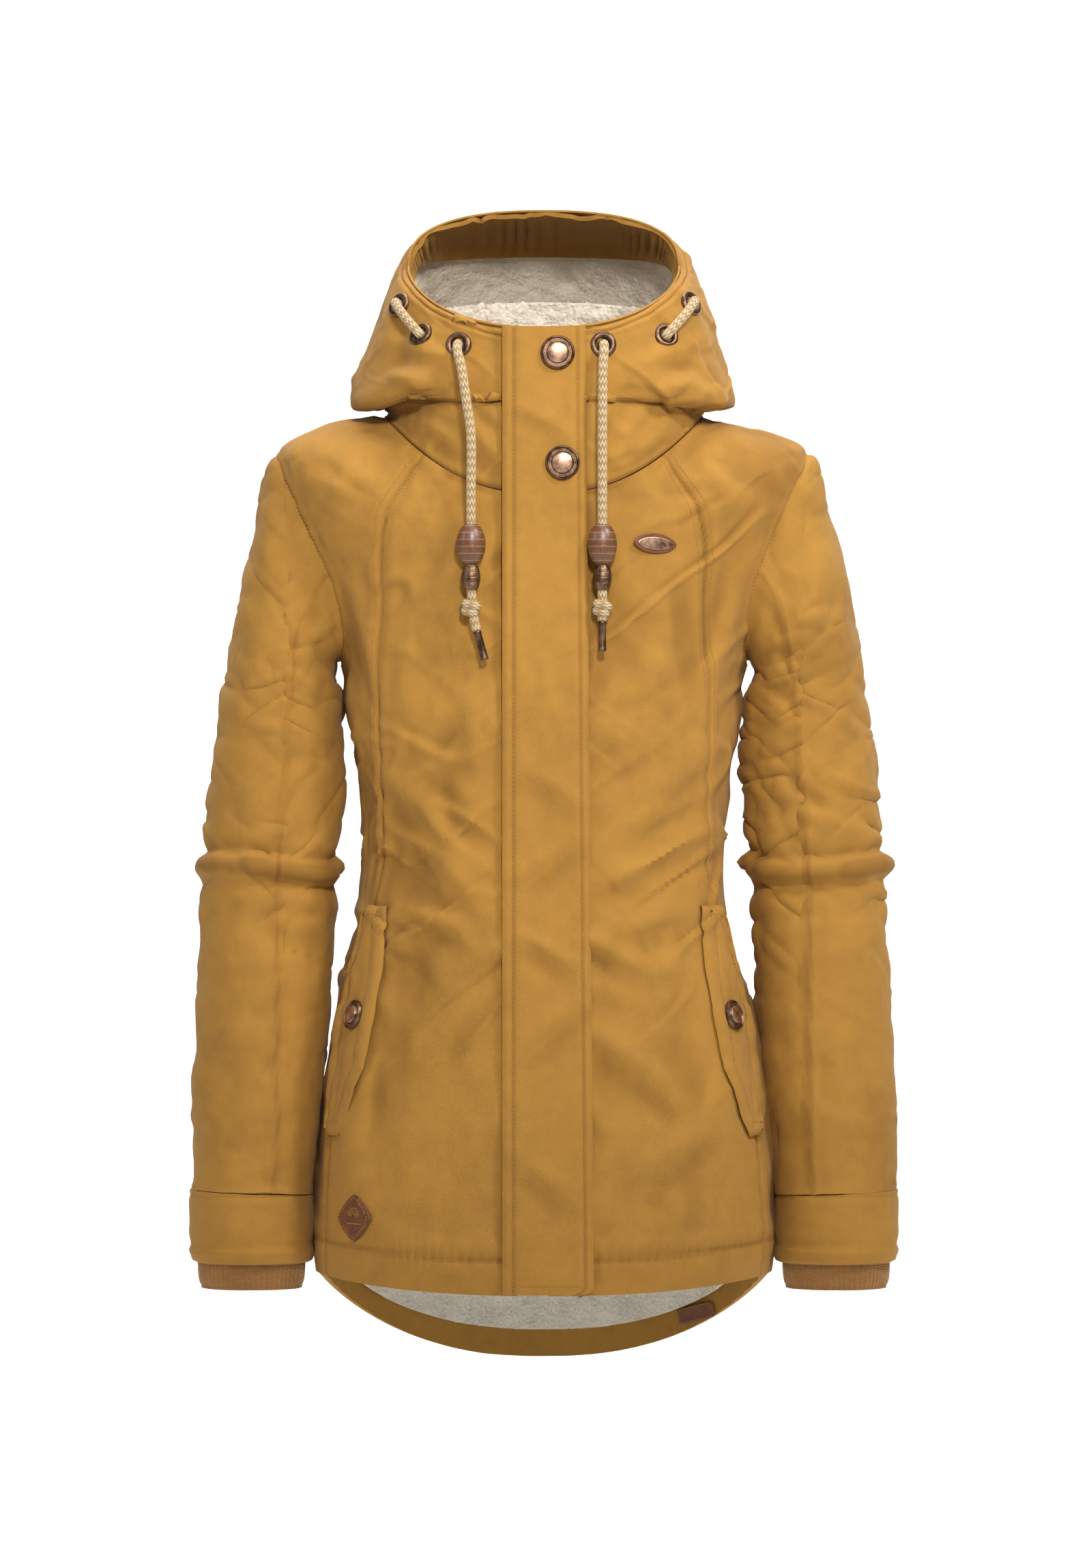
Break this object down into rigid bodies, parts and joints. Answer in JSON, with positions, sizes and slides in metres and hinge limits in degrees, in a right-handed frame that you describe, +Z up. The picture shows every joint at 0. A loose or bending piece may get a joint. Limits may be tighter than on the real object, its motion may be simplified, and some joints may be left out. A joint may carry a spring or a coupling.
{
  "type": "hooded winter jacket",
  "caption": "Women's hip-length hooded winter jacket with fleece lining, snap storm flap over a zip, flap pockets, rib cuffs and a dropped back hem, held up by its hanger loop.",
  "frame": {"origin": "underside of the hanger loop's top strap, where a hook bears, at the back of the neck", "axes": "+Z up, front of the jacket faces -Y, the wearer's left side is at +X"},
  "size_m": [0.551, 0.2881, 0.9095],
  "materials": {
    "shell_fabric": "matte cotton-look canvas with a slight sheen",
    "rib_knit": "ribbed knit",
    "fleece": "short-pile fleece",
    "pocket_cloth": "plain woven pocketing",
    "cord_yarn": "braided two-tone cord",
    "bead_brown": "satin wood-look resin",
    "antique_copper": "antique brushed copper",
    "dark_metal": "dark antique bronze",
    "zip_tape": "woven tape with a plastic coil",
    "leather": "embossed imitation leather",
    "woven_patch": "woven badge"
  },
  "bodies": {
    "jacket": {"front_panel_right": "shell_fabric", "front_panel_left": "shell_fabric", "side_panel_right": "shell_fabric", "side_panel_left": "shell_fabric", "back_panel": "shell_fabric", "body_lining": "fleece", "pocket_bag_right": "pocket_cloth", "pocket_bag_left": "pocket_cloth", "collar_front_right": "shell_fabric", "collar_front_left": "shell_fabric", "stand_collar": "fleece", "zip_tape_right": "zip_tape", "zip_tape_left": "zip_tape", "snap_stud_chin": "antique_copper", "snap_stud_chest": "antique_copper", "snap_stud_pocket_right": "antique_copper", "snap_stud_pocket_left": "antique_copper", "eyelet_front_right": "dark_metal", "eyelet_front_left": "dark_metal", "chest_badge_base": "leather", "chest_badge_plate": "antique_copper", "hem_badge": "leather", "hem_label": "leather", "hanger_loop": "shell_fabric"},
    "hood": {"hood_side_right": "shell_fabric", "hood_side_left": "shell_fabric", "hood_crown": "shell_fabric", "hood_lining": "fleece", "eyelet_side_right": "dark_metal", "eyelet_side_left": "dark_metal", "eyelet_upper_right": "dark_metal", "eyelet_upper_left": "dark_metal", "cord_loop_right": "cord_yarn", "cord_loop_left": "cord_yarn"},
    "storm_flap": {"storm_flap": "shell_fabric", "snap_cap_chin": "antique_copper", "snap_cap_chest": "antique_copper"},
    "zip_slider": {"zip_slider": "dark_metal", "zip_pull": "antique_copper"},
    "pocket_flap_right": {"pocket_flap_right": "shell_fabric", "snap_cap_pocket_right": "antique_copper"},
    "sleeve_upper_right": {"sleeve_upper_right": "shell_fabric"},
    "sleeve_lower_right": {"sleeve_lower_right": "shell_fabric", "cuff_band_right": "shell_fabric", "rib_cuff_right": "rib_knit"},
    "drawcord_right": {"drawcord_right": "cord_yarn", "cord_aglet_right": "dark_metal"},
    "bead_right": {"cord_bead_right": "bead_brown"},
    "small_bead_right": {"cord_small_bead_right": "antique_copper"},
    "pocket_flap_left": {"pocket_flap_left": "shell_fabric", "snap_cap_pocket_left": "antique_copper"},
    "sleeve_upper_left": {"sleeve_upper_left": "shell_fabric", "sleeve_patch": "woven_patch"},
    "sleeve_lower_left": {"sleeve_lower_left": "shell_fabric", "cuff_band_left": "shell_fabric", "rib_cuff_left": "rib_knit"},
    "drawcord_left": {"drawcord_left": "cord_yarn", "cord_aglet_left": "dark_metal"},
    "bead_left": {"cord_bead_left": "bead_brown"},
    "small_bead_left": {"cord_small_bead_left": "antique_copper"}
  },
  "joints": [
    {"name": "hood_tilt", "type": "hinge", "parent": "jacket", "child": "hood", "pos_m": [0, 0.022, 0.013], "axis": [-1, 0, 0], "range_deg": [0, 35]},
    {"name": "storm_flap_hinge", "type": "hinge", "parent": "jacket", "child": "storm_flap", "pos_m": [-0.032, -0.17667, -0.302], "axis": [0, -0.0365, -0.9993], "range_deg": [0, 95]},
    {"name": "zip_slide", "type": "slide", "parent": "jacket", "child": "zip_slider", "axis": [0, -0.0365, -0.9993], "range_m": [0, 0.665]},
    {"name": "shoulder_right", "type": "hinge", "parent": "jacket", "child": "sleeve_upper_right", "pos_m": [-0.2085, -0.053, -0.023], "axis": [0, 1, 0], "range_deg": [0, 50]},
    {"name": "elbow_right", "type": "hinge", "parent": "sleeve_upper_right", "child": "sleeve_lower_right", "pos_m": [-0.215, -0.109, -0.3423], "axis": [-1, 0, 0], "range_deg": [0, 60]},
    {"name": "pocket_flap_hinge_right", "type": "hinge", "parent": "jacket", "child": "pocket_flap_right", "pos_m": [-0.1594, -0.0989, -0.472], "axis": [-0.0613, -0.188, -0.9802], "range_deg": [0, 70]},
    {"name": "drawcord_swing_right", "type": "hinge", "parent": "jacket", "child": "drawcord_right", "pos_m": [-0.0645, -0.14863, 0.061], "axis": [-1, 0, 0], "range_deg": [0, 35]},
    {"name": "bead_slide_right", "type": "slide", "parent": "drawcord_right", "child": "bead_right", "axis": [0, 0, 1], "range_m": [0, 0.045]},
    {"name": "small_bead_slide_right", "type": "slide", "parent": "drawcord_right", "child": "small_bead_right", "axis": [0, 0, 1], "range_m": [0, 0.0006]},
    {"name": "shoulder_left", "type": "hinge", "parent": "jacket", "child": "sleeve_upper_left", "pos_m": [0.2085, -0.053, -0.023], "axis": [0, -1, 0], "range_deg": [0, 50]},
    {"name": "elbow_left", "type": "hinge", "parent": "sleeve_upper_left", "child": "sleeve_lower_left", "pos_m": [0.215, -0.109, -0.3423], "axis": [-1, 0, 0], "range_deg": [0, 60]},
    {"name": "pocket_flap_hinge_left", "type": "hinge", "parent": "jacket", "child": "pocket_flap_left", "pos_m": [0.1594, -0.0989, -0.472], "axis": [-0.0613, 0.188, 0.9802], "range_deg": [0, 70]},
    {"name": "drawcord_swing_left", "type": "hinge", "parent": "jacket", "child": "drawcord_left", "pos_m": [0.045, -0.15411, 0.061], "axis": [-1, 0, 0], "range_deg": [0, 35]},
    {"name": "bead_slide_left", "type": "slide", "parent": "drawcord_left", "child": "bead_left", "axis": [0, 0, 1], "range_m": [0, 0.045]},
    {"name": "small_bead_slide_left", "type": "slide", "parent": "drawcord_left", "child": "small_bead_left", "axis": [0, 0, 1], "range_m": [0, 0.0006]}
  ]
}
